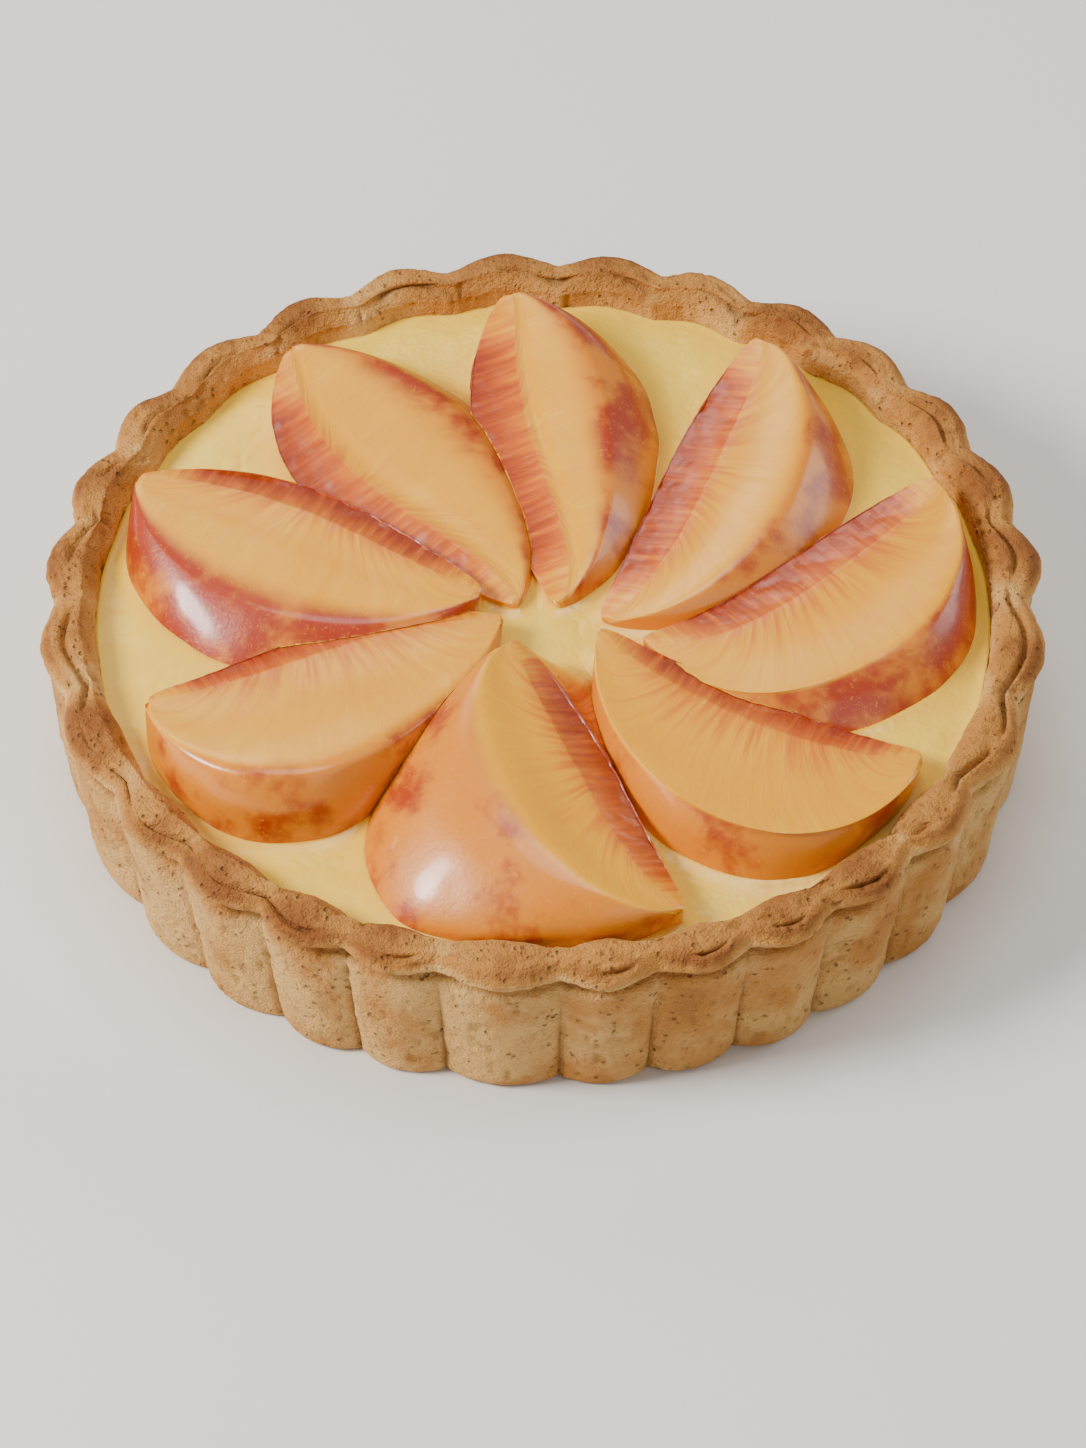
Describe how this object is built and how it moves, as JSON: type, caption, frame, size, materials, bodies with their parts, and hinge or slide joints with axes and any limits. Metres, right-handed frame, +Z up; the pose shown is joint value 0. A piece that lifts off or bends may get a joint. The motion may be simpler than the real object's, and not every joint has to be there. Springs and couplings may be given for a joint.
{
  "type": "fruit tart",
  "caption": "Round fluted shortcrust tart filled with custard, with peach wedges laid on it in a pinwheel round an open centre.",
  "frame": {"origin": "centre of the flat underside of the crust", "axes": "+Z up out of the filling, -Y towards the viewer of the reference picture, +X to that viewer's right"},
  "size_m": [0.1764, 0.177, 0.0429],
  "materials": {
    "crust": "dry baked shortcrust, browner on the rim and flutes",
    "custard": "smooth set vanilla custard with a soft shine",
    "peach": "moist cut peach under a thin clear glaze, blushed skin on the round side"
  },
  "bodies": {
    "root": {"crust": "crust", "custard": "custard", "wedge_1": "peach", "wedge_2": "peach", "wedge_3": "peach", "wedge_4": "peach", "wedge_5": "peach", "wedge_6": "peach", "wedge_7": "peach", "wedge_8": "peach"}
  },
  "joints": []
}
